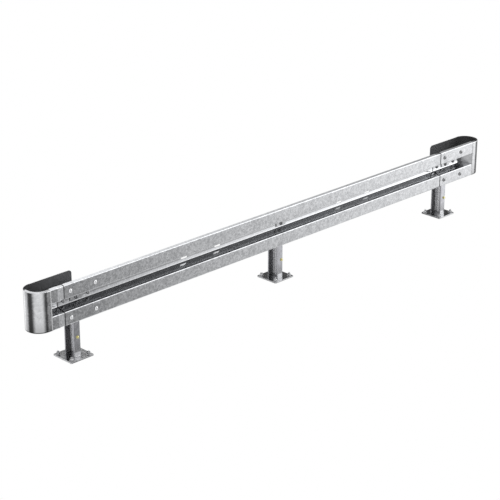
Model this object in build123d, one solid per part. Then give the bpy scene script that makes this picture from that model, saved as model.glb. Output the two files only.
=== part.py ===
from build123d import *
import os
from math import atan2, cos, hypot, pi, sin, tan

# Highway guardrail section: one corrugated steel beam lapped onto a short
# beam with a rounded nose at each end, carried by three steel posts on base
# plates. X runs along the rail, -Y is the traffic side and +Z is up. The
# origin is the middle of the underside of the middle base plate.

# ---- beam profile ----
sheet = 3.0
crest_face_y = -133.0
valley_depth = 80.0
beam_axis_z = 460.0
crest_inner_half = 47.0
crest_outer_half = 145.0
valley_half = 31.0
flange_depth = 24.0
flange_rise = 6.0
crest_bend_radius = 4.0
valley_bend_radius = 6.0

# ---- layout along the rail ----
post_spacing = 2000.0
lap_length = 318.0
ramp_length = 50.0
ramp_gap = 4.0
end_beam_reach = 270.0

# ---- nose ----
nose_flat = 30.0
nose_radius = 99.0
nose_lip = 20.0
nose_fold_bevel = 2.0
flap_reach = 332.0
flap_height = 287.0
flap_corner_radius = 25.0
closure_slant = 50.0

# ---- square holes for the bolts' square necks ----
bolt_hole_side = 17.0
splice_half_pitch = 108.0
splice_rise = 97.0

# ---- valley slots and cover plates ----
slot_length = 60.0
slot_width = 18.0
slot_offsets = (-1000.0, -667.0, 667.0, 1000.0)
cover_length = 100.0
cover_height = 40.0
cover_thickness = 5.0

# ---- posts and base plates ----
post_depth = 105.0
post_width = 60.0
post_sheet = 4.0
post_bend_radius = 2.0
post_lip = 14.0
web_inset = 14.0
web_inset_half_length = 24.0
web_step_slope = 12.0
post_top_z = 510.0
plate_size = 200.0
plate_thickness = 10.0
plate_corner_radius = 8.0
anchor_spacing = 150.0
anchor_hole_diameter = 18.0

# ---- positions worked out from the above ----
post_axes = [i * post_spacing for i in (-1, 0, 1)]
left_lap_start = post_axes[0] - lap_length / 2
left_lap_end = post_axes[0] + lap_length / 2
right_lap_start = post_axes[2] - lap_length / 2
right_lap_end = post_axes[2] + lap_length / 2
left_joint_x = post_axes[0] - end_beam_reach
right_joint_x = post_axes[2] + end_beam_reach
valley_back_y = crest_face_y + valley_depth + sheet


def front_points():
    """Corners of the beam's front surface, from the top flange down."""
    rear_y = crest_face_y + flange_depth
    valley_y = crest_face_y + valley_depth
    upper = [
        (rear_y, beam_axis_z + crest_outer_half + flange_rise),
        (crest_face_y, beam_axis_z + crest_outer_half),
        (crest_face_y, beam_axis_z + crest_inner_half),
        (valley_y, beam_axis_z + valley_half),
    ]
    lower = [(y, 2 * beam_axis_z - z) for y, z in reversed(upper)]
    return upper + lower


def line_meeting(point_a, direction_a, point_b, direction_b):
    """The point where two lines in the profile plane meet."""
    cross = direction_a[0] * direction_b[1] - direction_a[1] * direction_b[0]
    gap = (point_b[0] - point_a[0], point_b[1] - point_a[1])
    along = (gap[0] * direction_b[1] - gap[1] * direction_b[0]) / cross
    return (point_a[0] + along * direction_a[0], point_a[1] + along * direction_a[1])


def shifted_points(points, distance):
    """The same corners, moved back by a distance square to each wall."""
    directions = []
    normals = []
    for start, end in zip(points, points[1:]):
        length = hypot(end[0] - start[0], end[1] - start[1])
        direction = ((end[0] - start[0]) / length, (end[1] - start[1]) / length)
        directions.append(direction)
        normals.append((-direction[1], direction[0]))
    bases = []
    for point, normal in zip(points, normals):
        bases.append((point[0] + normal[0] * distance, point[1] + normal[1] * distance))
    shifted = [bases[0]]
    for i in range(1, len(bases)):
        shifted.append(line_meeting(bases[i - 1], directions[i - 1], bases[i], directions[i]))
    last = points[-1]
    shifted.append((last[0] + normals[-1][0] * distance, last[1] + normals[-1][1] * distance))
    return shifted


def turn_at(points, index):
    """Positive where the wall turns towards its back, negative towards its front."""
    before = points[index - 1]
    corner = points[index]
    after = points[index + 1]
    first = (corner[0] - before[0], corner[1] - before[1])
    second = (after[0] - corner[0], after[1] - corner[1])
    return first[0] * second[1] - first[1] * second[0]


def rounded_strip(points, near, far):
    """Face between two shifts of a bent line, with every bend rounded."""
    near_points = shifted_points(points, near)
    far_points = shifted_points(points, far)
    thickness = far - near
    outline = near_points + far_points[::-1]
    face = Plane.YZ * make_face(Polyline(outline, close=True))
    for i in range(1, len(points) - 1):
        toward_back = turn_at(points, i) > 0
        near_radius = crest_bend_radius + sheet - near if toward_back else valley_bend_radius + near
        far_radius = near_radius - thickness if toward_back else near_radius + thickness
        for spot, radius in ((near_points[i], near_radius), (far_points[i], far_radius)):
            corner = face.vertices().sort_by_distance((0, spot[0], spot[1]))[0]
            face = fillet([corner], radius)
    return face


def beam_length(start_x, end_x, shift):
    """A straight length of beam, its front face moved back by a shift."""
    section = rounded_strip(front_points(), shift, shift + sheet)
    return Pos(start_x, 0, 0) * extrude(section, end_x - start_x, dir=(1, 0, 0))


def step_back(start_x, end_x):
    """The short ramp where a beam steps back behind the one that laps it."""
    outer = Pos(start_x, 0, 0) * rounded_strip(front_points(), 0, sheet)
    inner = Pos(end_x, 0, 0) * rounded_strip(front_points(), sheet, 2 * sheet)
    return loft([outer, inner], ruled=True)


def bolt_punch(axis_x, rise=0.0):
    """What one bolt hole takes out of the rail, at a height above the beam's axis."""
    middle_y = crest_face_y + valley_depth / 2
    punch = Box(bolt_hole_side, valley_depth + 10 * sheet, bolt_hole_side)
    return Pos(axis_x, middle_y, beam_axis_z + rise) * punch


def splice_punches(axis_x):
    """Two upright rows of three splice holes, and the post bolt's hole between them."""
    punches = [bolt_punch(axis_x)]
    for side in (-splice_half_pitch, splice_half_pitch):
        for rise in (-splice_rise, 0, splice_rise):
            punches.append(bolt_punch(axis_x + side, rise))
    return punches


def main_beam():
    ramp_end = right_lap_start - ramp_gap
    ramp_start = ramp_end - ramp_length
    body = beam_length(left_lap_start, ramp_start, 0)
    body += step_back(ramp_start, ramp_end)
    body += beam_length(ramp_end, right_lap_end, sheet)
    for offset in slot_offsets:
        centre = (post_axes[1] + offset, crest_face_y + valley_depth, beam_axis_z)
        slot = Plane(centre, x_dir=(1, 0, 0), z_dir=(0, 1, 0)) * SlotOverall(slot_length, slot_width)
        body -= extrude(slot, 10, both=True)
    body -= splice_punches(post_axes[0])
    body -= bolt_punch(post_axes[1])
    body -= splice_punches(post_axes[2])
    return body


def left_end_beam():
    ramp_end = left_lap_start - ramp_gap
    ramp_start = ramp_end - ramp_length
    body = beam_length(left_joint_x, ramp_start, 0)
    body += step_back(ramp_start, ramp_end)
    body += beam_length(ramp_end, left_lap_end, sheet)
    return body - splice_punches(post_axes[0])


def right_end_beam():
    return beam_length(right_lap_start, right_joint_x, 0) - splice_punches(post_axes[2])


def nose_points():
    """Corners of the nose's outer surface: a lip, the flat wall and a lip."""
    lip_rise = nose_lip * flange_rise / flange_depth
    upper = [
        (crest_face_y + nose_lip, beam_axis_z + crest_outer_half + lip_rise),
        (crest_face_y, beam_axis_z + crest_outer_half),
    ]
    lower = [(y, 2 * beam_axis_z - z) for y, z in reversed(upper)]
    return upper + lower


def nose_section():
    """Lip, flat wall and lip, folded tight, with the outside of each fold bevelled."""
    outer = nose_points()
    inner = shifted_points(outer, sheet)
    face = Plane.YZ * make_face(Polyline(outer + inner[::-1], close=True))
    for spot in outer[1:-1]:
        corner = face.vertices().sort_by_distance((0, spot[0], spot[1]))[0]
        face = chamfer([corner], nose_fold_bevel)
    return face


def right_nose():
    """Flat run, half-round bend and a flat flap that returns behind the beam."""
    bend_x = right_joint_x + nose_flat
    bend_y = crest_face_y + nose_radius
    section = nose_section()
    flat = Pos(right_joint_x, 0, 0) * extrude(section, nose_flat, dir=(1, 0, 0))
    turn_axis = Axis((bend_x, bend_y, 0), (0, 0, 1))
    bend = revolve(Pos(bend_x, 0, 0) * section, turn_axis, 180)
    inner_radius = nose_radius - sheet
    lip_radius = nose_radius - nose_lip
    quarter = Ellipse(lip_radius, inner_radius)
    quarter &= Rectangle(nose_radius, nose_radius, align=(Align.MIN, Align.MIN))
    trim = extrude(Pos(bend_x, bend_y, 0) * quarter, 1000)
    bend -= trim
    rear_y = crest_face_y + 2 * nose_radius - sheet / 2
    flap_end = right_joint_x - flap_reach
    flap_length = bend_x - flap_end
    flap_centre = ((bend_x + flap_end) / 2, rear_y, beam_axis_z)
    flap = Pos(*flap_centre) * Box(flap_length, sheet, flap_height)
    corners = flap.edges().filter_by(Axis.Y).sort_by(Axis.X)[:2]
    flap = fillet(corners, flap_corner_radius)
    return flat + bend + flap


def left_nose():
    return mirror(right_nose(), Plane.YZ)


def right_valley_closure():
    """Slanted wall that closes the end of the valley beside the nose."""
    valley_y = crest_face_y + valley_depth
    run = hypot(closure_slant, valley_depth)
    shift = sheet * run / valley_depth
    plan = [
        (right_joint_x, crest_face_y),
        (right_joint_x - closure_slant, valley_y),
        (right_joint_x - closure_slant + shift, valley_y),
        (right_joint_x, crest_face_y + valley_depth * shift / closure_slant),
    ]
    slab = extrude(make_face(Polyline(plan, close=True)), 1000)
    return slab & valley_space()


def valley_space():
    """The open space in front of the valley, up to the beam's front surface."""
    points = front_points()
    rear = 300.0
    outline = points + [(rear, points[-1][1]), (rear, points[0][1])]
    back = Plane.YZ * make_face(Polyline(outline, close=True))
    for i in range(1, len(points) - 1):
        toward_back = turn_at(points, i) > 0
        radius = crest_bend_radius + sheet if toward_back else valley_bend_radius
        corner = back.vertices().sort_by_distance((0, points[i][0], points[i][1]))[0]
        back = fillet([corner], radius)
    front = Plane.YZ * make_face(Polyline([
        (crest_face_y, beam_axis_z - crest_inner_half),
        (crest_face_y, beam_axis_z + crest_inner_half),
        (crest_face_y + valley_depth, beam_axis_z + crest_inner_half),
        (crest_face_y + valley_depth, beam_axis_z - crest_inner_half),
    ], close=True))
    space = front - back
    return Pos(right_joint_x - 200, 0, 0) * extrude(space, 200, dir=(1, 0, 0))


def left_valley_closure():
    return mirror(right_valley_closure(), Plane.YZ)


def post(axis_x, front_y):
    """Open post: front and rear flanges with lips, and a web with a set-in middle."""
    left = axis_x - post_width / 2
    right = axis_x + post_width / 2
    rear_y = front_y + post_depth
    inset_start = front_y + post_depth / 2 - web_inset_half_length
    inset_end = front_y + post_depth / 2 + web_inset_half_length
    outline = [
        (left, front_y + post_lip),
        (left, front_y),
        (right, front_y),
        (right, inset_start),
        (right - web_inset, inset_start + web_step_slope),
        (right - web_inset, inset_end - web_step_slope),
        (right, inset_end),
        (right, rear_y),
        (left, rear_y),
        (left, rear_y - post_lip),
    ]
    inside = shifted_points(outline, post_sheet)
    face = make_face(Polyline(outline + inside[::-1], close=True))
    for i in range(1, len(outline) - 1):
        toward_back = turn_at(outline, i) > 0
        outer = post_bend_radius + post_sheet if toward_back else post_bend_radius
        inner = post_bend_radius if toward_back else post_bend_radius + post_sheet
        for spot, radius in ((outline[i], outer), (inside[i], inner)):
            corner = face.vertices().sort_by_distance((spot[0], spot[1], 0))[0]
            face = fillet([corner], radius)
    height = post_top_z - plate_thickness
    return Pos(0, 0, plate_thickness) * extrude(face, height) - bolt_punch(axis_x)


def base_plate(axis_x):
    plate = Pos(axis_x, 0, plate_thickness / 2) * Box(plate_size, plate_size, plate_thickness)
    plate = fillet(plate.edges().filter_by(Axis.Z), plate_corner_radius)
    holes = GridLocations(anchor_spacing, anchor_spacing, 2, 2)
    for spot in holes:
        drill = Cylinder(anchor_hole_diameter / 2, 4 * plate_thickness)
        plate -= Pos(axis_x, 0, 0) * spot * drill
    return plate


def cover_plate(axis_x):
    """Flat rectangular plate under the post bolt, on the floor of the valley."""
    front_y = crest_face_y + valley_depth - cover_thickness / 2
    plate = Pos(axis_x, front_y, beam_axis_z) * Box(cover_length, cover_thickness, cover_height)
    return fillet(plate.edges().filter_by(Axis.Y), 3.0) - bolt_punch(axis_x)


def build_parts():
    lapped_back_y = valley_back_y + sheet
    names = ("left", "middle", "right")
    fronts = (lapped_back_y, valley_back_y, lapped_back_y)
    parts = {
        "main_beam": main_beam(),
        "left_end_beam": left_end_beam(),
        "right_end_beam": right_end_beam(),
        "left_nose": left_nose(),
        "right_nose": right_nose(),
        "left_valley_closure": left_valley_closure(),
        "right_valley_closure": right_valley_closure(),
    }
    for name, axis_x, front_y in zip(names, post_axes, fronts):
        parts[name + "_base_plate"] = base_plate(axis_x)
        parts[name + "_post"] = post(axis_x, front_y)
        parts[name + "_cover_plate"] = cover_plate(axis_x)
    return parts


os.makedirs("parts", exist_ok=True)
for node, shape in build_parts().items():
    export_step(shape, "parts/" + node + ".step")
    print(node, round(shape.volume / 1000, 1), "cm3", len(shape.solids()), "solid")
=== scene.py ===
import bmesh
import bpy
import math
import random
from mathutils import Matrix, Vector


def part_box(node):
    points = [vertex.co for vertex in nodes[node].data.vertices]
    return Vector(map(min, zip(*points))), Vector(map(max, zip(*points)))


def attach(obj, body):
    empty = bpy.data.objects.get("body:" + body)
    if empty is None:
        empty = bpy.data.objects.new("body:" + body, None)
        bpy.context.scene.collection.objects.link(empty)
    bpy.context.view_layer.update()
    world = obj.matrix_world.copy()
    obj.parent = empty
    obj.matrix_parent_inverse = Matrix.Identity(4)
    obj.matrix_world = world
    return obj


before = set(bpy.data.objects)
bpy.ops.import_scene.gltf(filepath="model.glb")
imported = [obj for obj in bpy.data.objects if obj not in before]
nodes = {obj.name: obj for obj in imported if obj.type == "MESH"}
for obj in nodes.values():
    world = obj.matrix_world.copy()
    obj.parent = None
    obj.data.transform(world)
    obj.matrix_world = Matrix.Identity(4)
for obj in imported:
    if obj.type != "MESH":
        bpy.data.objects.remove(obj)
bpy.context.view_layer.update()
scene = bpy.context.scene
scene.view_settings.view_transform = "Standard"
print("frame loaded:", len(nodes), "nodes")

# places that the bolts, beads and finishes need, all read from the frame
endNames = ["left", "right"]
postNames = ["left", "middle", "right"]
railLow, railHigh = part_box("main_beam")
noseLow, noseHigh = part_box("left_nose")[0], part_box("right_nose")[1]
crestY = railLow.y                                      # front of the two crests
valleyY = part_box("middle_cover_plate")[1].y             # the valley's floor
axisZ = (railLow.z + railHigh.z) / 2                    # the valley's middle line
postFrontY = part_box("middle_post")[0].y
postX = {name: sum(corner.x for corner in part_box(name + "_base_plate")) / 2 for name in postNames}
jointX = {"left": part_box("left_end_beam")[0].x, "right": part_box("right_end_beam")[1].x}
seamX = [railLow.x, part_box("right_end_beam")[0].x]      # where a front sheet starts over another

sheet = {"beam": 0.003, "post": 0.004}      # thicknesses of the steel

cameraSetup = {
    "place": (-8.1267, -7.8306, 4.6801),
    "azimuth": 44.927,      # degrees from +X towards +Y
    "elevation": -21.557,
    "lens": 113.70,
}


def makeCamera(setup):
    data = bpy.data.cameras.new("camera")
    data.lens = setup["lens"]
    data.sensor_width = 36
    data.clip_end = 200
    camera = bpy.data.objects.new("camera", data)
    scene.collection.objects.link(camera)
    camera.location = setup["place"]
    azimuth = math.radians(setup["azimuth"])
    elevation = math.radians(setup["elevation"])
    forward = Vector((
        math.cos(elevation) * math.cos(azimuth),
        math.cos(elevation) * math.sin(azimuth),
        math.sin(elevation),
    ))
    camera.rotation_euler = forward.to_track_quat("-Z", "Y").to_euler()
    scene.camera = camera


makeCamera(cameraSetup)
print("camera ready")


def addNode(tree, kind, **settings):
    node = tree.nodes.new(kind)
    for name, value in settings.items():
        setattr(node, name, value)
    return node


def feed(tree, value, socket):
    # another node's output is linked, and a plain number, vector or colour is set
    if isinstance(value, bpy.types.NodeSocket):
        tree.links.new(value, socket)
    else:
        socket.default_value = value


def mathNode(tree, operation, first, second=0.0, clamp=False):
    node = addNode(tree, "ShaderNodeMath", operation=operation, use_clamp=clamp)
    feed(tree, first, node.inputs[0])
    feed(tree, second, node.inputs[1])
    return node.outputs[0]


def vectorNode(tree, operation, first, second=None):
    node = addNode(tree, "ShaderNodeVectorMath", operation=operation)
    feed(tree, first, node.inputs[0])
    if second is not None:
        feed(tree, second, node.inputs["Scale" if operation == "SCALE" else 1])
    return node.outputs["Value" if operation == "DOT_PRODUCT" else "Vector"]


def smoothMap(tree, value, low, high, lowResult=0.0, highResult=1.0):
    node = addNode(tree, "ShaderNodeMapRange", interpolation_type="SMOOTHSTEP")
    labels = ("Value", "From Min", "From Max", "To Min", "To Max")
    for label, entry in zip(labels, (value, low, high, lowResult, highResult)):
        feed(tree, entry, node.inputs[label])
    return node.outputs["Result"]


def mixNode(tree, kind, factor, first, second):
    node = addNode(tree, "ShaderNodeMix", data_type=kind)
    for label, entry in zip(("Factor", "A", "B"), (factor, first, second)):
        feed(tree, entry, node.inputs[label])
    return node.outputs["Result"]


def noiseNode(tree, place, scale, detail=2.0):
    node = addNode(tree, "ShaderNodeTexNoise")
    for label, entry in zip(("Vector", "Scale", "Detail"), (place, scale, detail)):
        feed(tree, entry, node.inputs[label])
    return node


def surfacePlace(tree):
    return addNode(tree, "ShaderNodeTexCoord").outputs["Object"]


def surfaceFacing(tree):
    return addNode(tree, "ShaderNodeNewGeometry").outputs["Normal"]


def partsOf(tree, vector):
    node = addNode(tree, "ShaderNodeSeparateXYZ")
    tree.links.new(vector, node.inputs[0])
    return node.outputs


# The studio as polished metal sees it: a dim horizon, upright soft panels and a bright ceiling.
# Everything else sees plain white. A panel stands at its azimuth, and each of its sides has the
# angle where full strength ends and the angle where its light ends. foot and body are the sines
# of the elevations where its light begins and where it is full.
studioLight = {
    "horizon": 0.11,
    "panels": [
        # front right: the flat faces see it, and it fades towards the rail's left end
        {"azimuth": -35, "clockwise": (0, 31.5), "anticlockwise": (3, 16),
         "strength": 3.15, "foot": -0.637, "body": -0.037},
        # front left: the bright band on the left nose
        {"azimuth": -128, "clockwise": (24, 60), "anticlockwise": (24, 60),
         "strength": 1.42, "foot": -1.2, "body": -0.9},
        # behind: the far side of the left nose
        {"azimuth": 110, "clockwise": (14, 42), "anticlockwise": (14, 42),
         "strength": 1.2, "foot": -1.2, "body": -0.9},
        # high behind: bends and lips that face up
        {"azimuth": 60, "clockwise": (8, 38), "anticlockwise": (8, 38),
         "strength": 2.3, "foot": 0.39, "body": 0.55},
        # low on the right: faces that look down
        {"azimuth": -20, "clockwise": (35, 80), "anticlockwise": (35, 80),
         "strength": 1.2, "foot": -0.42, "body": -0.62},
        # low behind: the rear faces
        {"azimuth": 70, "clockwise": (25, 45), "anticlockwise": (25, 45),
         "strength": 0.8, "foot": -0.02, "body": -0.12},
        # right, under the horizon: faint
        {"azimuth": 5, "clockwise": (15, 35), "anticlockwise": (15, 35),
         "strength": 0.3, "foot": 0.1, "body": -0.1},
        # right: the upper edges of the rail's right part
        {"azimuth": -6, "clockwise": (10, 30), "anticlockwise": (8, 24),
         "strength": 2.2, "foot": -0.2, "body": 0.05},
    ],
    "ceiling": 0.68,
    "ceilingFoot": 0.40,
    "ceilingBody": 0.56,
}


def studioPattern(tree, setup):
    place = addNode(tree, "ShaderNodeTexCoord")
    unit = vectorNode(tree, "NORMALIZE", place.outputs["Generated"])
    up = partsOf(tree, unit)["Z"]
    level = vectorNode(tree, "NORMALIZE", vectorNode(tree, "MULTIPLY", unit, (1, 1, 0)))
    total = smoothMap(tree, up, setup["ceilingFoot"], setup["ceilingBody"], setup["horizon"], setup["ceiling"])
    for panel in setup["panels"]:
        azimuth = math.radians(panel["azimuth"])
        towards = vectorNode(tree, "DOT_PRODUCT", level, (math.cos(azimuth), math.sin(azimuth), 0))
        turn = mathNode(tree, "ARCCOSINE", towards)
        sideways = vectorNode(tree, "DOT_PRODUCT", level, (math.sin(azimuth), -math.cos(azimuth), 0))
        halves = [
            smoothMap(tree, turn, math.radians(full), math.radians(end), panel["strength"], 0.0)
            for full, end in (panel["anticlockwise"], panel["clockwise"])
        ]
        across = mixNode(tree, "FLOAT", mathNode(tree, "GREATER_THAN", sideways, 0.0), *halves)
        upward = smoothMap(tree, up, panel["foot"], panel["body"])
        total = mathNode(tree, "ADD", total, mathNode(tree, "MULTIPLY", across, upward))
    return total


def makeWorld(setup):
    world = bpy.data.worlds.new("studio")
    world.use_nodes = True
    tree = world.node_tree
    tree.nodes.clear()
    out = addNode(tree, "ShaderNodeOutputWorld")
    white = addNode(tree, "ShaderNodeBackground")
    white.inputs["Color"].default_value = (1, 1, 1, 1)
    white.inputs["Strength"].default_value = 1.0
    panels = addNode(tree, "ShaderNodeBackground")
    tree.links.new(studioPattern(tree, setup), panels.inputs["Strength"])
    path = addNode(tree, "ShaderNodeLightPath")
    mix = addNode(tree, "ShaderNodeMixShader")
    tree.links.new(path.outputs["Is Glossy Ray"], mix.inputs[0])
    tree.links.new(white.outputs[0], mix.inputs[1])
    tree.links.new(panels.outputs[0], mix.inputs[2])
    tree.links.new(mix.outputs[0], out.inputs[0])
    scene.world = world


def makeFloor():
    side = 60
    corners = [(-side, -side, 0), (side, -side, 0), (side, side, 0), (-side, side, 0)]
    mesh = bpy.data.meshes.new("floor")
    mesh.from_pydata(corners, [], [(0, 1, 2, 3)])
    floor = bpy.data.objects.new("floor", mesh)
    scene.collection.objects.link(floor)
    look = bpy.data.materials.new("paleFloor")
    look.use_nodes = True
    tree = look.node_tree
    tree.nodes.clear()
    out = addNode(tree, "ShaderNodeOutputMaterial")
    diffuse = addNode(tree, "ShaderNodeBsdfDiffuse")
    diffuse.inputs["Color"].default_value = (0.9, 0.9, 0.9, 1)
    glow = addNode(tree, "ShaderNodeEmission")
    path = addNode(tree, "ShaderNodeLightPath")
    mix = addNode(tree, "ShaderNodeMixShader")
    tree.links.new(path.outputs["Is Camera Ray"], mix.inputs[0])
    tree.links.new(diffuse.outputs[0], mix.inputs[1])
    tree.links.new(glow.outputs[0], mix.inputs[2])
    tree.links.new(mix.outputs[0], out.inputs[0])
    mesh.materials.append(look)
    floor.visible_glossy = False    # metal looks through the floor to the studio panels


makeWorld(studioLight)
makeFloor()
print("studio ready")


def newGroup(name, inputs, outputs):
    # inputs are numbers with their defaults, and outputs are numbers but for a normal
    group = bpy.data.node_groups.new(name, "ShaderNodeTree")
    for label, default in inputs.items():
        socket = group.interface.new_socket(label, in_out="INPUT", socket_type="NodeSocketFloat")
        socket.default_value = default
    for label in outputs:
        kind = "NodeSocketVector" if label.endswith("Normal") else "NodeSocketFloat"
        group.interface.new_socket(label, in_out="OUTPUT", socket_type=kind)
    return group, addNode(group, "NodeGroupInput").outputs, addNode(group, "NodeGroupOutput").inputs


def zincSpangleGroup():
    # frozen zinc crystals: each has its own shade and its own slight tilt, over broad soft clouds
    group, given, out = newGroup("zincSpangle", {
        "Crystal Size": 0.012, "Cloud Size": 0.06, "Crystal Share": 0.5, "Tilt": 0.02, "Bend Radius": 0.0,
    }, ["Shade", "Crystal", "Cloud", "Facet Normal"])
    halfway = (0.5, 0.5, 0.5)
    place = surfacePlace(group)
    crystalScale = mathNode(group, "DIVIDE", 1.0, given["Crystal Size"])
    cloudScale = mathNode(group, "DIVIDE", 1.0, given["Cloud Size"])
    cloud = noiseNode(group, place, cloudScale, 3.0).outputs["Fac"]
    feather = noiseNode(group, place, mathNode(group, "MULTIPLY", crystalScale, 2.0), 4.0)
    away = vectorNode(group, "SUBTRACT", feather.outputs["Color"], halfway)
    fray = vectorNode(group, "SCALE", away, given["Crystal Size"])      # frays the crystals' edges
    crystal = addNode(group, "ShaderNodeTexVoronoi", feature="F1")
    group.links.new(vectorNode(group, "ADD", place, fray), crystal.inputs["Vector"])
    group.links.new(crystalScale, crystal.inputs["Scale"])
    parts = addNode(group, "ShaderNodeSeparateColor")
    group.links.new(crystal.outputs["Color"], parts.inputs[0])
    clouds = smoothMap(group, cloud, 0.3, 0.7)
    shade = mixNode(group, "FLOAT", given["Crystal Share"], clouds, parts.outputs[0])
    rounded = addNode(group, "ShaderNodeBevel", samples=6)
    group.links.new(given["Bend Radius"], rounded.inputs["Radius"])
    lean = vectorNode(group, "SUBTRACT", crystal.outputs["Color"], halfway)
    tilted = vectorNode(group, "ADD", rounded.outputs["Normal"], vectorNode(group, "SCALE", lean, given["Tilt"]))
    group.links.new(shade, out["Shade"])
    group.links.new(parts.outputs[1], out["Crystal"])
    group.links.new(cloud, out["Cloud"])
    group.links.new(vectorNode(group, "NORMALIZE", tilted), out["Facet Normal"])
    return group


def shelterShadeGroup():
    # painted shade: places that see little sky, found by ambient occlusion, get a darker, duller tone
    group, given, out = newGroup("shelterShade", {"Reach": 0.3, "Closed At": 0.15, "Open At": 0.6}, ["Open"])
    cover = addNode(group, "ShaderNodeAmbientOcclusion", samples=6)
    group.links.new(given["Reach"], cover.inputs["Distance"])
    group.links.new(smoothMap(group, cover.outputs["AO"], given["Closed At"], given["Open At"]), out["Open"])
    return group


def edgeSheenGroup():
    # bends and cut edges, where the coating is rubbed brighter
    group, given, out = newGroup("edgeSheen", {"Noise Size": 0.02}, ["Edge"])
    bevel = addNode(group, "ShaderNodeBevel", samples=4)
    bevel.inputs["Radius"].default_value = 0.004
    same = vectorNode(group, "DOT_PRODUCT", bevel.outputs[0], surfaceFacing(group))
    edge = smoothMap(group, same, 0.85, 0.99, 1.0, 0.0)
    noise = noiseNode(group, surfacePlace(group), mathNode(group, "DIVIDE", 1.0, given["Noise Size"]))
    rubbed = smoothMap(group, noise.outputs["Fac"], 0.3, 0.6)
    group.links.new(mathNode(group, "MULTIPLY", edge, rubbed), out["Edge"])
    return group


def valleyFloor(group, place):
    # 1 on the valley's floor and on the plates that lie there
    return smoothMap(group, place["Y"], valleyY - 0.010, valleyY - 0.004)


def valleyPaintedLightGroup():
    # painted light in the valley: a painted highlight along the floor's lower bend, and painted shade on faces that
    # look down
    group, given, out = newGroup("valleyPaintedLight", {"Reach": 0.033, "Line Drop": 0.003},
                                 ["Run", "Line", "Underside Shade", "Ledge", "Corner"])
    place = partsOf(group, surfacePlace(group))
    facing = partsOf(group, surfaceFacing(group))
    floorFoot = axisZ - 0.031       # lower edge of the valley's floor
    ledgeFront = crestY + 0.012     # the valley's lower wall starts behind this
    upright = smoothMap(group, facing["Y"], -0.95, -0.8, 1.0, 0.0)
    flat = mathNode(group, "MULTIPLY", valleyFloor(group, place), upright)
    # a painted highlight, bright at the floor's lower edge and fading upward
    share = mathNode(group, "DIVIDE", mathNode(group, "SUBTRACT", place["Z"], floorFoot), given["Reach"])
    bendHighlight = smoothMap(group, share, 0.0, 1.0, 1.0, 0.22)
    group.links.new(mathNode(group, "MULTIPLY", flat, bendHighlight), out["Run"])
    # a thin darker line just under the middle
    lineZ = mathNode(group, "SUBTRACT", axisZ, given["Line Drop"])
    away = mathNode(group, "ABSOLUTE", mathNode(group, "SUBTRACT", place["Z"], lineZ))
    line = smoothMap(group, away, 0.002, 0.004, 1.0, 0.0)
    group.links.new(mathNode(group, "MULTIPLY", flat, line), out["Line"])
    # painted shade on faces that look down
    group.links.new(smoothMap(group, facing["Z"], -0.9, -0.5, 1.0, 0.0), out["Underside Shade"])
    # the wall under the floor, which faces up, and its corner with the floor, which gets a painted shade
    below = mathNode(group, "LESS_THAN", place["Z"], axisZ)
    within = mathNode(group, "GREATER_THAN", place["Y"], ledgeFront)
    upward = mathNode(group, "MULTIPLY", smoothMap(group, facing["Z"], 0.9, 0.96), below)
    group.links.new(mathNode(group, "MULTIPLY", upward, within), out["Ledge"])
    near = smoothMap(group, place["Y"], valleyY - 0.022, valleyY - 0.010)
    tipped = mathNode(group, "MULTIPLY", smoothMap(group, facing["Z"], 0.3, 0.5), below)
    group.links.new(mathNode(group, "MULTIPLY", near, tipped), out["Corner"])
    return group


def seamStainGroup():
    # a painted shadow: a dark line in the step where one sheet ends on another
    group, given, out = newGroup("seamStain", {"Half Width": 0.0028}, ["Stain"])
    spot = surfacePlace(group)
    place = partsOf(group, spot)
    noise = noiseNode(group, spot, 60.0)
    wander = mathNode(group, "MULTIPLY", mathNode(group, "SUBTRACT", noise.outputs["Fac"], 0.5), 0.006)
    lines = []
    for seam in seamX:
        away = mathNode(group, "ABSOLUTE", mathNode(group, "SUBTRACT", place["X"], seam))
        share = mathNode(group, "DIVIDE", mathNode(group, "ADD", away, wander), given["Half Width"])
        lines.append(smoothMap(group, share, 0.5, 1.6, 1.0, 0.0))
    # and a painted shadow at the left end of each cover plate, on the valley's floor
    level = mathNode(group, "ABSOLUTE", mathNode(group, "SUBTRACT", place["Z"], axisZ))
    plateHeight = smoothMap(group, level, 0.019, 0.022, 1.0, 0.0)
    beside = mathNode(group, "MULTIPLY", valleyFloor(group, place), plateHeight)
    for name in postNames:
        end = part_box(name + "_cover_plate")[0].x - 0.004
        away = mathNode(group, "ABSOLUTE", mathNode(group, "SUBTRACT", place["X"], end))
        share = mathNode(group, "DIVIDE", away, given["Half Width"])
        lines.append(mathNode(group, "MULTIPLY", smoothMap(group, share, 1.0, 2.0, 1.0, 0.0), beside))
    total = lines[0]
    for line in lines[1:]:
        total = mathNode(group, "MAXIMUM", total, line)
    group.links.new(total, out["Stain"])
    return group


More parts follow.
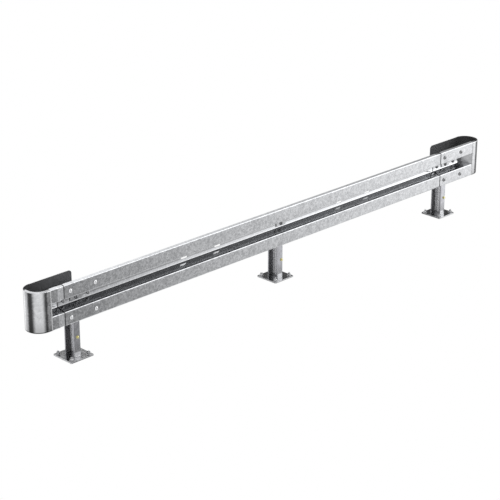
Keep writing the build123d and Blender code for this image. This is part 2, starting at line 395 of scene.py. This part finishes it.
def noseInsideGroup():
    # the hollow side of a nose, which gets a painted shade, told by which way a face looks from the line down its
    # middle
    group, given, out = newGroup("noseInside", {"Radius": 0.099}, ["Inside", "Flap"])
    place = partsOf(group, surfacePlace(group))
    leftEnd = mathNode(group, "ADD", noseLow.x, given["Radius"])
    rightEnd = mathNode(group, "SUBTRACT", noseHigh.x, given["Radius"])
    middle = mathNode(group, "ADD", crestY, given["Radius"])
    beyondLeft = mathNode(group, "MAXIMUM", mathNode(group, "SUBTRACT", leftEnd, place["X"]), 0.0)
    beyondRight = mathNode(group, "MAXIMUM", mathNode(group, "SUBTRACT", place["X"], rightEnd), 0.0)
    inward = addNode(group, "ShaderNodeCombineXYZ")
    group.links.new(mathNode(group, "SUBTRACT", beyondLeft, beyondRight), inward.inputs["X"])
    group.links.new(mathNode(group, "SUBTRACT", middle, place["Y"]), inward.inputs["Y"])
    unit = vectorNode(group, "NORMALIZE", inward.outputs[0])
    same = vectorNode(group, "DOT_PRODUCT", unit, surfaceFacing(group))
    inside = smoothMap(group, same, 0.3, 0.7)
    # the flap is the part that comes back behind the beam
    fromLeft = mathNode(group, "SUBTRACT", place["X"], noseLow.x)
    fromRight = mathNode(group, "SUBTRACT", noseHigh.x, place["X"])
    reach = smoothMap(group, mathNode(group, "MINIMUM", fromLeft, fromRight), 0.08, 0.32)
    group.links.new(inside, out["Inside"])
    group.links.new(mathNode(group, "MULTIPLY", inside, reach), out["Flap"])
    return group


def noseFootGroup():
    # painted shade: a nose gets darker towards its lower edge, and a painted shadow makes its lower lip darkest
    group, given, out = newGroup("noseFoot", {"Height": 0.11}, ["Lower", "Hem"])
    above = mathNode(group, "SUBTRACT", partsOf(group, surfacePlace(group))["Z"], noseLow.z)
    share = mathNode(group, "DIVIDE", above, given["Height"])
    group.links.new(smoothMap(group, share, 0.1, 1.0, 1.0, 0.0), out["Lower"])
    group.links.new(smoothMap(group, above, 0.010, 0.015, 1.0, 0.0), out["Hem"])
    return group


def postWebGroup():
    # painted light: a post's web, which looks out of its open side, is painted pale
    group, given, out = newGroup("postWeb", {"Post Spacing": 2.0}, ["Web"])
    place = partsOf(group, surfacePlace(group))
    bay = mathNode(group, "ROUND", mathNode(group, "DIVIDE", place["X"], given["Post Spacing"]))
    axis = mathNode(group, "MULTIPLY", bay, given["Post Spacing"])
    deep = mathNode(group, "GREATER_THAN", mathNode(group, "SUBTRACT", place["X"], axis), -0.01)
    aside = smoothMap(group, partsOf(group, surfaceFacing(group))["X"], -0.9, -0.5, 1.0, 0.0)
    group.links.new(mathNode(group, "MULTIPLY", deep, aside), out["Web"])
    return group


def postFootGroup():
    # painted reflection of the base plate: pale at the foot of the front face, and a painted shadow band over it
    group, given, out = newGroup("postFoot", {"Height": 0.042}, ["Pale", "Band"])
    place = partsOf(group, surfacePlace(group))
    ahead = mathNode(group, "LESS_THAN", place["Y"], postFrontY + 0.02)
    forward = smoothMap(group, partsOf(group, surfaceFacing(group))["Y"], -0.9, -0.5, 1.0, 0.0)
    front = mathNode(group, "MULTIPLY", ahead, forward)
    over = mathNode(group, "SUBTRACT", place["Z"], given["Height"])
    pale = smoothMap(group, over, -0.004, 0.004, 1.0, 0.0)
    band = mathNode(group, "MULTIPLY", smoothMap(group, over, -0.004, 0.004),
                    smoothMap(group, over, 0.01, 0.07, 1.0, 0.0))
    group.links.new(mathNode(group, "MULTIPLY", front, pale), out["Pale"])
    group.links.new(mathNode(group, "MULTIPLY", front, band), out["Band"])
    return group


zincSpangle = zincSpangleGroup()
shelterShade = shelterShadeGroup()
edgeSheen = edgeSheenGroup()
valleyPaintedLight = valleyPaintedLightGroup()
seamStain = seamStainGroup()
noseInside = noseInsideGroup()
noseFoot = noseFootGroup()
postWeb = postWebGroup()
postFoot = postFootGroup()
print("shader groups ready")

# One entry for each finish, with lengths in metres:
# dark, light: the ends of the zinc's range of shades, then the painted shade where it is sheltered
# rough: a crystal's least and most roughness, shelterRough: what shelter adds, and ledgeRough:
# what the valley's lower wall adds
# crystal, cloud: sizes, share: how far crystals count in the shade, and tilt: how far they lean
# bump: depth of the clouds, and bend: radius of the softened edges
# metal: metallic where sheltered and where open, and webMetal: the most on a post's web
# the ambient occlusion range: how much sky a sheltered and an open place see, which sets the painted shade (a nose
# is sheltered all over its inside)
# layers: tones laid over the rest, the last one on top
zincLooks = {
    "beamZinc": {
        "dark": (0.405, 0.411, 0.423), "light": (0.590, 0.598, 0.612), "shadedTone": (0.42, 0.425, 0.435),
        "rough": (0.08, 0.15), "crystal": 0.011, "cloud": 0.05, "share": 0.75, "tilt": 0.028, "bump": 0.00005,
        "bend": 0.0, "metal": (1.0, 1.0), "shelterRough": -0.06, "shelterShade": (0.15, 0.6), "ledgeRough": 0.06,
        # layers: painted shade on faces that look down, a painted highlight on the floor's lower part, a thin
        # darker line, painted shade in the floor's lower corner, and a painted shadow in the seams
        "layers": {
            "undersideShade": (0.30, 0.304, 0.31), "bendHighlight": (0.90, 0.905, 0.92), "line": (0.37, 0.374, 0.38),
            "corner": (0.24, 0.243, 0.25), "seamShade": (0.16, 0.161, 0.165),
        },
    },
    "noseZinc": {
        "dark": (0.420, 0.425, 0.434), "light": (0.590, 0.597, 0.608), "shadedTone": (0.07, 0.071, 0.073),
        "rough": (0.07, 0.14), "crystal": 0.012, "cloud": 0.045, "share": 0.6, "tilt": 0.035, "bump": 0.0006,
        "bend": 0.004, "metal": (0.2, 1.0), "shelterRough": 0.3,
        # layers: painted shade on the lower part, a painted shadow on the lower lip, painted shade on faces that
        # look up, and painted shade in the hollow and on the flap
        "layers": {
            "lower": (0.38, 0.383, 0.39), "hem": (0.06, 0.061, 0.063), "lip": (0.28, 0.283, 0.29),
            "hollow": (0.07, 0.071, 0.073), "flap": (0.13, 0.132, 0.137),
        },
    },
    # a darker copy of the nose's zinc for the closures: painted shade
    "closureShadedZinc": {
        "dark": (0.300, 0.304, 0.312), "light": (0.400, 0.405, 0.414), "shadedTone": (0.25, 0.252, 0.26),
        "rough": (0.07, 0.14), "crystal": 0.012, "cloud": 0.045, "share": 0.6, "tilt": 0.035, "bump": 0.0001,
        "bend": 0.004, "metal": (1.0, 1.0), "shelterRough": 0.2, "shelterShade": (0.15, 0.6),
    },
    "postZinc": {
        "dark": (0.430, 0.433, 0.458), "light": (0.570, 0.574, 0.604), "shadedTone": (0.13, 0.131, 0.138),
        "rough": (0.06, 0.12), "crystal": 0.014, "cloud": 0.08, "share": 0.4, "tilt": 0.02, "bump": 0.00005,
        "bend": 0.003, "metal": (0.2, 1.0), "shelterRough": 0.3, "shelterShade": (0.3, 0.75), "webMetal": 0.2,
        # layers: a painted reflection at the foot, a painted shadow band over it, and painted light on the web
        "layers": {
            "pale": (0.68, 0.684, 0.70), "band": (0.36, 0.363, 0.376), "web": (0.80, 0.803, 0.83),
        },
    },
    "plateZinc": {
        "dark": (0.420, 0.424, 0.433), "light": (0.560, 0.565, 0.575), "shadedTone": (0.34, 0.343, 0.35),
        "rough": (0.06, 0.12), "crystal": 0.012, "cloud": 0.05, "share": 0.5, "tilt": 0.025, "bump": 0.00005,
        "bend": 0.003, "metal": (1.0, 1.0), "shelterRough": 0.0, "shelterShade": (0.15, 0.6),
    },
    # the next two are a lit copy and a shaded copy of one bolt zinc: painted light and painted shade
    "boltLitZinc": {
        "dark": (0.640, 0.645, 0.655), "light": (0.780, 0.785, 0.795), "shadedTone": (0.17, 0.172, 0.177),
        "rough": (0.12, 0.20), "crystal": 0.004, "cloud": 0.02, "share": 0.5, "tilt": 0.03, "bump": 0.00003,
        "bend": 0.0, "metal": (0.4, 0.4), "shelterRough": 0.1, "shelterShade": (0.4, 0.85),
    },
    "boltShadedZinc": {
        "dark": (0.200, 0.202, 0.207), "light": (0.300, 0.303, 0.310), "shadedTone": (0.17, 0.172, 0.177),
        "rough": (0.12, 0.20), "crystal": 0.004, "cloud": 0.02, "share": 0.5, "tilt": 0.03, "bump": 0.00003,
        "bend": 0.0, "metal": (1.0, 1.0), "shelterRough": 0.1, "shelterShade": (0.4, 0.85),
    },
    "anchorZinc": {
        "dark": (0.520, 0.524, 0.534), "light": (0.680, 0.685, 0.695), "shadedTone": (0.28, 0.282, 0.29),
        "rough": (0.22, 0.34), "crystal": 0.004, "cloud": 0.02, "share": 0.5, "tilt": 0.03, "bump": 0.00003,
        "bend": 0.0, "metal": (0.5, 1.0), "shelterRough": 0.1, "shelterShade": (0.2, 0.8),
    },
    "beadZinc": {
        "dark": (0.560, 0.564, 0.575), "light": (0.720, 0.725, 0.735), "shadedTone": (0.36, 0.362, 0.37),
        "rough": (0.22, 0.36), "crystal": 0.004, "cloud": 0.02, "share": 0.5, "tilt": 0.03, "bump": 0.00006,
        "bend": 0.0, "metal": (1.0, 1.0), "shelterRough": 0.1, "shelterShade": (0.15, 0.6),
    },
    "boltYellow": {
        "dark": (0.700, 0.620, 0.220), "light": (0.900, 0.850, 0.450), "shadedTone": (0.36, 0.30, 0.10),
        "rough": (0.20, 0.34), "crystal": 0.003, "cloud": 0.012, "share": 0.4, "tilt": 0.02, "bump": 0.00003,
        "bend": 0.0, "metal": (1.0, 1.0), "shelterRough": 0.1, "shelterShade": (0.15, 0.6),
    },
}


def placeGroup(tree, group, values=None):
    node = addNode(tree, "ShaderNodeGroup", node_tree=group)
    for label, value in (values or {}).items():
        feed(tree, value, node.inputs[label])
    return node.outputs


def beamMarks(tree):
    valleyMasks = placeGroup(tree, valleyPaintedLight)
    return {
        "undersideShade": valleyMasks["Underside Shade"], "bendHighlight": valleyMasks["Run"], "line": valleyMasks["Line"], "corner": valleyMasks["Corner"],
        "ledge": valleyMasks["Ledge"], "seamShade": placeGroup(tree, seamStain)["Stain"],
    }


def noseMarks(tree):
    inner = placeGroup(tree, noseInside)
    foot = placeGroup(tree, noseFoot)
    return {
        "inside": inner["Inside"], "flap": inner["Flap"], "lower": foot["Lower"], "hem": foot["Hem"],
        "hollow": mathNode(tree, "SUBTRACT", inner["Inside"], inner["Flap"]),
        # faces that look up, which get a painted shade
        "lip": smoothMap(tree, partsOf(tree, surfaceFacing(tree))["Z"], 0.8, 0.95),
    }


def postMarks(tree):
    foot = placeGroup(tree, postFoot)
    return {"pale": foot["Pale"], "band": foot["Band"], "web": placeGroup(tree, postWeb)["Web"]}


marksOf = {"beamZinc": beamMarks, "noseZinc": noseMarks, "postZinc": postMarks}


def zincMaterial(name, look):
    material = bpy.data.materials.new(name)
    material.use_nodes = True
    tree = material.node_tree
    shader = tree.nodes["Principled BSDF"]
    marks = marksOf[name](tree) if name in marksOf else {}
    if "inside" in marks:
        openness = mathNode(tree, "SUBTRACT", 1.0, marks["inside"])
    else:
        closedAt, openAt = look["shelterShade"]
        openness = placeGroup(tree, shelterShade, {"Reach": 0.3, "Closed At": closedAt, "Open At": openAt})["Open"]
    spangle = placeGroup(tree, zincSpangle, {
        "Crystal Size": look["crystal"], "Cloud Size": look["cloud"], "Crystal Share": look["share"],
        "Tilt": mathNode(tree, "MULTIPLY", openness, look["tilt"]), "Bend Radius": look["bend"],
    })
    sheen = placeGroup(tree, edgeSheen, {"Noise Size": look["cloud"] / 2})["Edge"]

    # colour: crystals and clouds, brighter at the edges, a painted shade where sheltered, then the layers
    shade = mathNode(tree, "ADD", spangle["Shade"], mathNode(tree, "MULTIPLY", sheen, 0.35), clamp=True)
    bare = mixNode(tree, "RGBA", shade, (*look["dark"], 1), (*look["light"], 1))
    surface = mixNode(tree, "RGBA", openness, (*look["shadedTone"], 1), bare)
    for mark, tone in look.get("layers", {}).items():
        surface = mixNode(tree, "RGBA", marks[mark], surface, (*tone, 1))
    tree.links.new(surface, shader.inputs["Base Color"])

    closedMetal, openMetal = look["metal"]
    if closedMetal == openMetal:
        shader.inputs["Metallic"].default_value = openMetal
    else:
        metal = smoothMap(tree, openness, 0.0, 1.0, closedMetal, openMetal)
        if "web" in marks:
            metal = mathNode(tree, "MINIMUM", metal, smoothMap(tree, marks["web"], 0.0, 1.0, 1.0, look["webMetal"]))
        tree.links.new(metal, shader.inputs["Metallic"])

    rough = smoothMap(tree, spangle["Crystal"], 0.0, 1.0, *look["rough"])
    if "ledge" in marks:
        rough = mathNode(tree, "ADD", rough, mathNode(tree, "MULTIPLY", marks["ledge"], look["ledgeRough"]))
    sheltered = smoothMap(tree, openness, 0.0, 1.0, look["shelterRough"], 0.0)
    tree.links.new(mathNode(tree, "ADD", rough, sheltered, clamp=True), shader.inputs["Roughness"])

    bump = addNode(tree, "ShaderNodeBump")
    bump.inputs["Strength"].default_value = 1.0
    bump.inputs["Distance"].default_value = look["bump"]
    tree.links.new(mathNode(tree, "MULTIPLY", spangle["Cloud"], openness), bump.inputs["Height"])
    tree.links.new(spangle["Facet Normal"], bump.inputs["Normal"])
    tree.links.new(bump.outputs["Normal"], shader.inputs["Normal"])
    return material


zinc = {name: zincMaterial(name, look) for name, look in zincLooks.items()}
nodeLooks = {
    "beam": "beamZinc", "nose": "noseZinc", "closure": "closureShadedZinc",
    "cover_plate": "plateZinc", "base_plate": "plateZinc", "post": "postZinc",
}
for name, node in nodes.items():
    look = next(value for ending, value in nodeLooks.items() if name.endswith(ending))
    node.data.materials.clear()
    node.data.materials.append(zinc[look])
print("finishes ready:", len(zinc))


def finishPiece(name, mesh, material):
    mesh.normal_update()
    data = bpy.data.meshes.new(name)
    mesh.to_mesh(data)
    mesh.free()
    piece = bpy.data.objects.new(name, data)
    scene.collection.objects.link(piece)
    data.materials.append(zinc[material])
    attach(piece, "root")


def pointing(direction, place, turn=0.0):
    # a matrix that sends +Z along a direction, for parts turned about an axis
    spin = Matrix.Rotation(turn, 4, "Z")
    return Matrix.Translation(place) @ Vector(direction).to_track_quat("Z", "Y").to_matrix().to_4x4() @ spin


def addRings(mesh, rings, matrix, closeLow=True, closeHigh=True):
    # rings of points joined into a skin; each ring is a list of (x, y, z)
    loops = [[mesh.verts.new(matrix @ Vector(point)) for point in ring] for ring in rings]
    count = len(loops[0])
    for low, high in zip(loops, loops[1:]):
        for i in range(count):
            j = (i + 1) % count
            face = mesh.faces.new((low[i], low[j], high[j], high[i]))
            face.smooth = True
    if closeLow:
        mesh.faces.new(loops[0][::-1])
    if closeHigh:
        mesh.faces.new(loops[-1])


def roundRing(radius, height, steps):
    return [
        (radius * math.cos(math.tau * i / steps), radius * math.sin(math.tau * i / steps), height)
        for i in range(steps)
    ]


def hexRing(acrossFlats, height, limit, steps):
    # a hexagon whose corners are cut to a circle of the limit radius
    ring = []
    for i in range(steps):
        angle = math.tau * i / steps
        inSector = (angle + math.pi / 6) % (math.pi / 3) - math.pi / 6
        radius = min(acrossFlats / 2 / math.cos(inSector), limit)
        ring.append((radius * math.cos(angle), radius * math.sin(angle), height))
    return ring


def addNut(mesh, size, matrix, steps=36):
    flats = size["flats"]
    corner = flats / 2 / math.cos(math.pi / 6)
    face = flats * 0.49         # radius of the flat end face, inside the chamfer
    bore = size["shank"] / 2
    height = size["height"]
    chamfer = height * 0.12
    rings = [
        roundRing(bore, 0, steps),
        hexRing(flats, 0, face, steps),
        hexRing(flats, chamfer, corner, steps),
        hexRing(flats, height - chamfer, corner, steps),
        hexRing(flats, height, face, steps),
        roundRing(bore, height, steps),
    ]
    addRings(mesh, rings + [rings[0]], matrix, closeLow=False, closeHigh=False)


def addWasher(mesh, outer, inner, thickness, matrix, steps=32):
    edge = thickness * 0.2
    rings = [
        roundRing(inner, 0, steps), roundRing(outer - edge, 0, steps), roundRing(outer, edge, steps),
        roundRing(outer, thickness - edge, steps), roundRing(outer - edge, thickness, steps),
        roundRing(inner, thickness, steps),
    ]
    addRings(mesh, rings + [rings[0]], matrix, closeLow=False, closeHigh=False)


def addThread(mesh, diameter, low, high, pitch, matrix, steps=20):
    # a threaded end: ridges and roots, with a small cone at the tip
    root = diameter / 2 - 0.6 * pitch
    rings = []
    turns = max(2, int((high - low) / pitch))
    for i in range(turns):
        start = low + (high - low) * i / turns
        rings.append(roundRing(root, start, steps))
        rings.append(roundRing(diameter / 2, start + pitch * 0.5, steps))
    rings.append(roundRing(root, high, steps))
    rings.append(roundRing(root * 0.8, high + pitch * 0.4, steps))
    addRings(mesh, rings, matrix)


def addDomeHead(mesh, size, matrix, steps=32, arcs=7):
    # a low round head with a short straight rim
    radius = size["head"] / 2
    rim = size["rise"] * 0.22
    rings = [
        roundRing(size["shank"] / 2, -0.001, steps), roundRing(radius * 0.96, 0, steps),
        roundRing(radius, rim * 0.5, steps),
    ]
    for i in range(arcs):
        angle = math.pi / 2 * i / arcs
        rings.append(roundRing(radius * math.cos(angle), rim + (size["rise"] - rim) * math.sin(angle), steps))
    rings.append(roundRing(radius * 0.06, size["rise"], steps))
    addRings(mesh, rings, matrix)


def addThroughBolt(mesh, size, x, y, z, grip, turn):
    # y is the surface under the head and grip is what the bolt clamps
    addDomeHead(mesh, size, pointing((0, -1, 0), (x, y, z), turn))
    backward = pointing((0, 1, 0), (x, y, z), turn)
    washerAt = backward @ Matrix.Translation((0, 0, grip))
    addWasher(mesh, size["washer"], size["shank"] / 2, size["washerThickness"], washerAt)
    addNut(mesh, size, washerAt @ Matrix.Translation((0, 0, size["washerThickness"])))
    nutEnd = grip + size["washerThickness"] + size["height"]
    threadEnd = max(size["tail"], nutEnd + 0.004)
    addThread(mesh, size["shank"], nutEnd - 0.004, threadEnd, size["pitch"], backward)


# splice bolts: round heads in front, washers, nuts and thread ends behind
spliceBolt = {
    "head": 0.031, "rise": 0.010, "shank": 0.016, "pitch": 0.002,
    "flats": 0.024, "height": 0.013, "washer": 0.017, "washerThickness": 0.003,
    "tail": 0.030,              # how far the end stands behind the front sheet's face
    "along": 0.108,             # from the post axis to a bolt row
    "crestHeight": 0.097,       # from the beam's axis to the crest rows
    # the left bolts get the lit copy of the bolt zinc and the right ones the shaded copy: painted light and painted
    # shade
    "finish": {"left": "boltLitZinc", "right": "boltShadedZinc"},
}


def makeSpliceBolts(side, size):
    mesh = bmesh.new()
    draw = random.Random(side)
    grip = 2 * sheet["beam"]
    for direction in (-1, 1):
        x = postX[side] + direction * size["along"]
        for rise in (size["crestHeight"], -size["crestHeight"]):
            addThroughBolt(mesh, size, x, crestY, axisZ + rise, grip, draw.uniform(0, 1))
        addThroughBolt(mesh, size, x, valleyY, axisZ, grip, draw.uniform(0, 1))
    finishPiece(side + "_splice_bolts", mesh, size["finish"][side])


for side in endNames:
    makeSpliceBolts(side, spliceBolt)

# one longer bolt through cover plate, valley and post at each post
postBolt = dict(spliceBolt, tail=0.036)


def makePostBolt(name, size):
    mesh = bmesh.new()
    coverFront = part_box(name + "_cover_plate")[0].y
    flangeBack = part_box(name + "_post")[0].y + sheet["post"]
    addThroughBolt(mesh, size, postX[name], coverFront, axisZ, flangeBack - coverFront, 0.3)
    # the shaded copy of the bolt zinc: painted shade
    finishPiece(name + "_post_bolt", mesh, "boltShadedZinc")


for name in postNames:
    makePostBolt(name, postBolt)
print("rail bolts ready")

# anchors: threaded studs with washer and nut on each base plate
anchor = {
    "spacing": 0.150, "shank": 0.016, "pitch": 0.002, "flats": 0.024, "height": 0.013,
    "washer": 0.017, "washerThickness": 0.003, "above": 0.010,
}


def makeAnchors(name, size):
    mesh = bmesh.new()
    draw = random.Random(name)
    low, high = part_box(name + "_base_plate")
    centre = (low + high) / 2
    nutTop = size["washerThickness"] + size["height"]
    for across in (-0.5, 0.5):
        for along in (-0.5, 0.5):
            spot = Vector((centre.x + across * size["spacing"], centre.y + along * size["spacing"], high.z))
            upward = Matrix.Translation(spot) @ Matrix.Rotation(draw.uniform(0, 1), 4, "Z")
            addWasher(mesh, size["washer"], size["shank"] / 2, size["washerThickness"], upward)
            addNut(mesh, size, upward @ Matrix.Translation((0, 0, size["washerThickness"])))
            addThread(mesh, size["shank"], -high.z, nutTop + size["above"], size["pitch"], upward)
    finishPiece(name + "_anchors", mesh, "anchorZinc")


for name in postNames:
    makeAnchors(name, anchor)

# a small yellow bolt low on the front flange of each post
markBolt = {
    "aside": {"left": 0.004, "middle": 0.015, "right": 0.013},      # from the post axis
    "height": 0.153, "flats": 0.016, "rise": 0.007, "bore": 0.003,
    "washer": 0.0105, "washerThickness": 0.002,
}


def makeMarkBolt(name, size, steps=36):
    mesh = bmesh.new()
    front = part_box(name + "_post")[0].y
    matrix = pointing((0, -1, 0), (postX[name] + size["aside"][name], front, size["height"]), 0.2)
    addWasher(mesh, size["washer"], size["bore"], size["washerThickness"], matrix)
    flats = size["flats"]
    corner = flats / 2 / math.cos(math.pi / 6)
    top = size["washerThickness"] + size["rise"]
    addRings(mesh, [
        hexRing(flats, 0, corner, steps),
        hexRing(flats, top - 0.001, corner, steps),
        hexRing(flats, top, flats * 0.47, steps),
        roundRing(flats * 0.3, top, steps),
    ], matrix)
    finishPiece(name + "_mark_bolt", mesh, "boltYellow")


for name in postNames:
    makeMarkBolt(name, markBolt)
print("anchors and mark bolts ready")


def addBead(mesh, start, end, outward, across, size, draw):
    # half-round weld bead from start to end: small overlapping scales on a surface that faces outward
    start, end = Vector(start), Vector(end)
    outward, across = Vector(outward).normalized(), Vector(across).normalized()
    length = (end - start).length
    steps = max(4, int(length / size["scale"] * 3))
    points = 7
    rings = []
    for i in range(steps + 1):
        share = i / steps       # of the way from start to end
        phase = (share * length / size["scale"]) % 1
        swell = 1 - size["ripple"] * (1 - math.sin(math.pi * phase)) + draw.uniform(-0.05, 0.05) * size["ripple"]
        fade = min(1, min(share, 1 - share) * length * size["endSlope"] + size["endHeight"])
        middle = start.lerp(end, share)
        ring = []
        for k in range(points):
            angle = math.pi * k / (points - 1)
            sideways = math.cos(angle) * size["width"] / 2 * swell
            upward = math.sin(angle) * size["rise"] * swell * fade
            ring.append(middle + across * sideways + outward * upward)
        ring.append(middle - outward * size["sunk"])
        rings.append(ring)
    addRings(mesh, rings, Matrix.Identity(4))


def outlineAt(node, height):
    # the outline of a node's foot: edges of its lowest faces that only one of them uses
    data = nodes[node].data
    counts = {}
    for polygon in data.polygons:
        corners = [data.vertices[i].co for i in polygon.vertices]
        if all(abs(corner.z - height) < 1e-5 for corner in corners):
            for a, b in zip(corners, corners[1:] + corners[:1]):
                key = frozenset(((round(a.x, 5), round(a.y, 5)), (round(b.x, 5), round(b.y, 5))))
                counts[key] = counts.get(key, 0) + 1
    return [tuple(key) for key, count in counts.items() if count == 1 and len(key) == 2]


# round the outside of a post's foot, where it stands on its plate
footBead = {
    "width": 0.007, "rise": 0.0026, "scale": 0.005, "ripple": 0.25, "sunk": 0.0005,
    "endHeight": 0.25, "endSlope": 240,     # an end's share of the rise, and how fast it grows per metre
    "shortest": 0.006,      # edges of the post's small bends are left out
}


def makeFootBead(name, size):
    mesh = bmesh.new()
    draw = random.Random(name)
    low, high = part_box(name + "_post")
    centre = Vector(((low.x + high.x) / 2, (low.y + high.y) / 2, 0))
    for a, b in outlineAt(name + "_post", low.z):
        start, end = Vector((*a, low.z)), Vector((*b, low.z))
        if (end - start).length < size["shortest"]:
            continue
        along = (end - start).normalized()
        outward = Vector((along.y, -along.x, 0))
        if outward.dot((start + end) / 2 - centre) < 0:
            outward = -outward
        addBead(mesh, start, end, outward + Vector((0, 0, 1)), outward - Vector((0, 0, 1)), size, draw)
    finishPiece(name + "_foot_bead", mesh, "plateZinc")


for name in postNames:
    makeFootBead(name, footBead)

# the upright weld between a nose and the end of its beam
jointBead = {
    "width": 0.008, "rise": 0.0022, "scale": 0.005, "ripple": 0.08, "sunk": 0.0005,
    "endHeight": 0.25, "endSlope": 240,
    "margin": 0.004,        # left free at the top and bottom
}


def makeJointBead(side, size):
    mesh = bmesh.new()
    draw = random.Random(side + "joint")
    low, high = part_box(side + "_nose")
    start = (jointX[side], crestY, low.z + size["margin"])
    end = (jointX[side], crestY, high.z - size["margin"])
    addBead(mesh, start, end, (0, -1, 0), (1, 0, 0), size, draw)
    finishPiece(side + "_joint_bead", mesh, "beadZinc")


for side in endNames:
    makeJointBead(side, jointBead)
print("weld beads ready")
